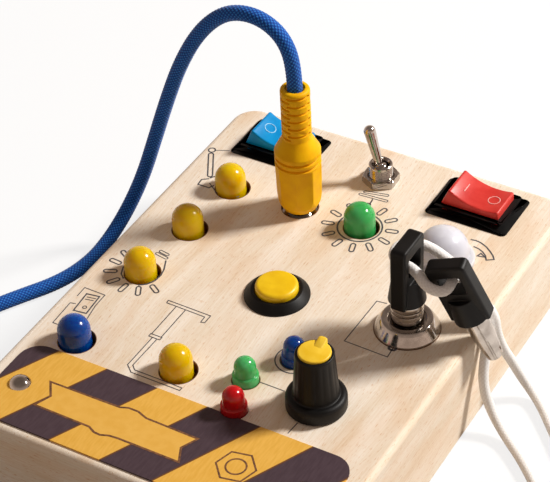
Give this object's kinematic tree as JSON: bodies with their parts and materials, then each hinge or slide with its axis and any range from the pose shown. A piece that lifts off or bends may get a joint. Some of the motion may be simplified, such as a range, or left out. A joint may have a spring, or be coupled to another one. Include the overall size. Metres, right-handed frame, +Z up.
{
  "type": "wooden busy board",
  "caption": "Small hollow wood block with rocker and toggle switches, coloured lamps, push button, key switch, dimmer knob, corded plug and battery box.",
  "frame": {"origin": "middle of the underside that stands on the table", "axes": "+Z up out of the control face, +Y towards the two rocker switches along the long side, +X towards the key switch"},
  "size_m": [0.1584, 0.125, 0.0782],
  "materials": {
    "maple": "sanded birch block, oiled",
    "panel_wood": "thin birch panel",
    "plate_print": "printed striped plate",
    "chrome": "bright nickel plate",
    "screw_steel": "zinc-plated steel",
    "black_plastic": "moulded black plastic",
    "blue_plastic": "moulded blue plastic",
    "red_plastic": "moulded red plastic",
    "yellow_plastic": "moulded yellow plastic",
    "yellow_lens": "tinted clear epoxy",
    "blue_lens": "tinted clear epoxy",
    "green_lens": "tinted clear epoxy",
    "red_lens": "tinted clear epoxy",
    "white_lens": "frosted white plastic",
    "yellow_rubber": "soft moulded plug body",
    "black_rubber": "soft moulded grommet",
    "brass": "bare brass",
    "tinned_copper": "tinned copper leads",
    "spring_steel": "drawn spring wire",
    "circuit_green": "glass-epoxy board with solder mask",
    "cell_jacket": "plain battery sleeve",
    "blue_braid": "braided cord sleeve",
    "white_braid": "braided cord",
    "wire_sleeve": "thin wire insulation"
  },
  "bodies": {
    "root": {"base_panel": "panel_wood", "base_screws": "screw_steel", "battery_cells": "cell_jacket", "battery_contacts": "spring_steel", "battery_cover": "black_plastic", "battery_holder": "black_plastic", "blue_lamp": "blue_lens", "blue_switch_housing": "black_plastic", "board_components": "black_plastic", "board_screws": "screw_steel", "board_spacers": "brass", "button_housing": "black_plastic", "button_nut": "black_plastic", "button_spring": "spring_steel", "circuit_board": "circuit_green", "cord_knot": "white_braid", "cover_screw": "screw_steel", "dimmer_body": "screw_steel", "dimmer_nut": "screw_steel", "dome_bulb": "white_lens", "dome_lens": "white_lens", "green_lamp": "green_lens", "inner_wires": "wire_sleeve", "key_cord": "white_braid", "lamp_leads": "tinned_copper", "lead": "blue_braid", "lead_grommet": "black_rubber", "lock_housing": "chrome", "lock_nut": "chrome", "plate_screws": "chrome", "red_switch_housing": "black_plastic", "small_blue_lamp": "blue_lens", "small_green_lamp": "green_lens", "small_red_lamp": "red_lens", "socket_body": "black_plastic", "socket_sleeve": "chrome", "spare_key_bow": "black_plastic", "spare_key_stem": "chrome", "striped_plate": "plate_print", "switch_pins": "tinned_copper", "toggle_body": "blue_plastic", "toggle_bushing": "chrome", "toggle_nut": "chrome", "wooden_body": "maple", "yellow_lamp_1": "yellow_lens", "yellow_lamp_2": "yellow_lens", "yellow_lamp_3": "yellow_lens", "yellow_lamp_4": "yellow_lens"},
    "blue_rocker": {"blue_rocker": "blue_plastic"},
    "red_rocker": {"red_rocker": "red_plastic"},
    "toggle_lever": {"toggle_lever": "chrome"},
    "button": {"button_cap": "yellow_plastic"},
    "key": {"lock_barrel": "chrome", "lock_key_bow": "black_plastic", "lock_key_stem": "chrome"},
    "knob": {"knob_body": "black_plastic", "knob_cap": "yellow_plastic", "dimmer_shaft": "screw_steel"},
    "plug": {"plug_body": "yellow_rubber", "plug_contact": "chrome"}
  },
  "joints": [
    {"name": "blue_switch_rock", "type": "hinge", "parent": "root", "child": "blue_rocker", "pos_m": [-0.0277, 0.0507, 0.0252], "axis": [0, 1, 0], "range_deg": [-21, 0]},
    {"name": "red_switch_rock", "type": "hinge", "parent": "root", "child": "red_rocker", "pos_m": [0.0257, 0.051, 0.0252], "axis": [0, 1, 0], "range_deg": [-21, 0]},
    {"name": "toggle_flip", "type": "hinge", "parent": "root", "child": "toggle_lever", "pos_m": [0.0005, 0.05, 0.028], "axis": [0, 1, 0], "range_deg": [0, 30]},
    {"name": "button_press", "type": "slide", "parent": "root", "child": "button", "axis": [0, 0, -1], "range_m": [0, 0.0012], "stiffness_N_per_m": 300, "deforming": ["button_spring"]},
    {"name": "key_turn", "type": "hinge", "parent": "root", "child": "key", "pos_m": [0.0303, 0.0055, 0.028], "axis": [0, 0, 1], "range_deg": [0, 45], "deforming": ["key_cord"]},
    {"name": "knob_turn", "type": "hinge", "parent": "root", "child": "knob", "pos_m": [0.0244, -0.0252, 0.028], "axis": [0, 0, 1], "range_deg": [-140, 140]},
    {"name": "plug_pull", "type": "slide", "parent": "root", "child": "plug", "axis": [0, 0, 1], "range_m": [0, 0.012], "deforming": ["lead"]}
  ]
}
